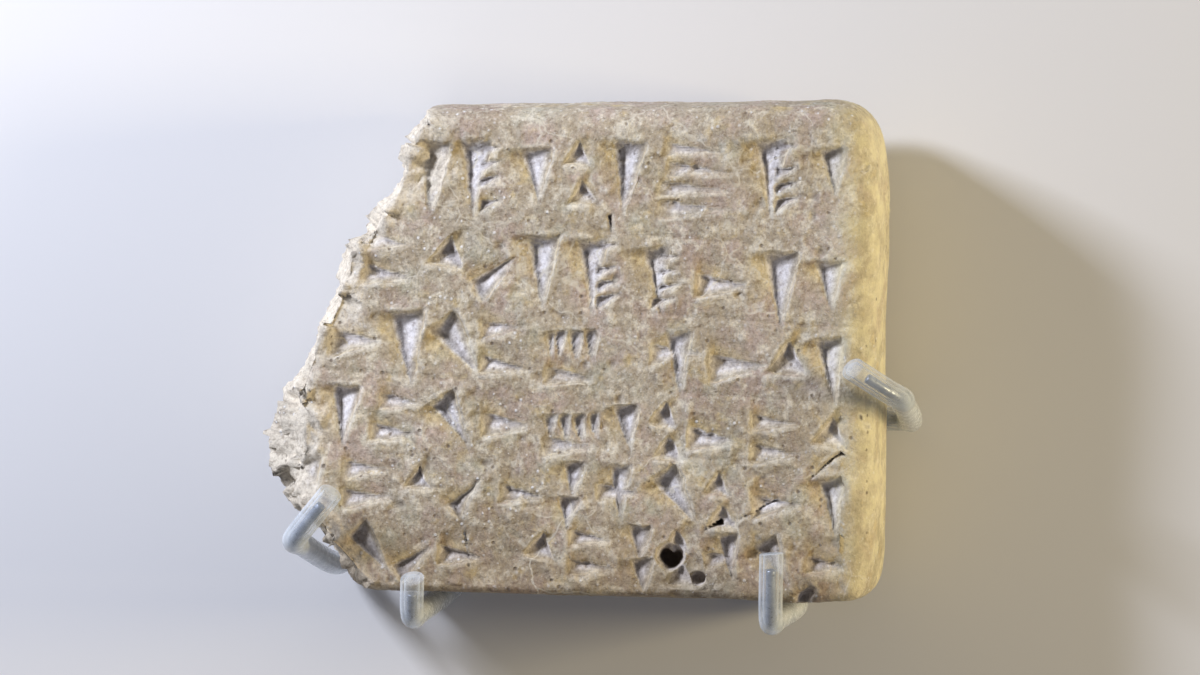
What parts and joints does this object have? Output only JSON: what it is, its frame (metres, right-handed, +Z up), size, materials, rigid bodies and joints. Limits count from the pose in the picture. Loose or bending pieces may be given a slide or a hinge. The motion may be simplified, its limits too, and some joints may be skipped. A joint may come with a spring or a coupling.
{
  "type": "cuneiform tablet",
  "caption": "Broken clay tablet with rows of pressed wedge strokes, lying on its back in a cradle of bent wires whose tips wear clear plastic tube.",
  "frame": {"origin": "on the floor, under the middle of the whole part's box", "axes": "+Z up, out of the written face; +Y towards the first row of strokes; +X along the rows, to the reader's right"},
  "size_m": [0.0666, 0.0534, 0.0251],
  "materials": {
    "clay": "matt unglazed clay, mottled buff, ochre and pinkish brown",
    "steel_wire": "dull drawn wire",
    "clear_tube": "clear flexible tube, glossy"
  },
  "bodies": {
    "root": {"tablet": "clay", "cradle_frame": "steel_wire", "sleeve_right": "clear_tube", "sleeve_lower_right": "clear_tube", "sleeve_lower_left": "clear_tube", "sleeve_left": "clear_tube"}
  },
  "joints": []
}
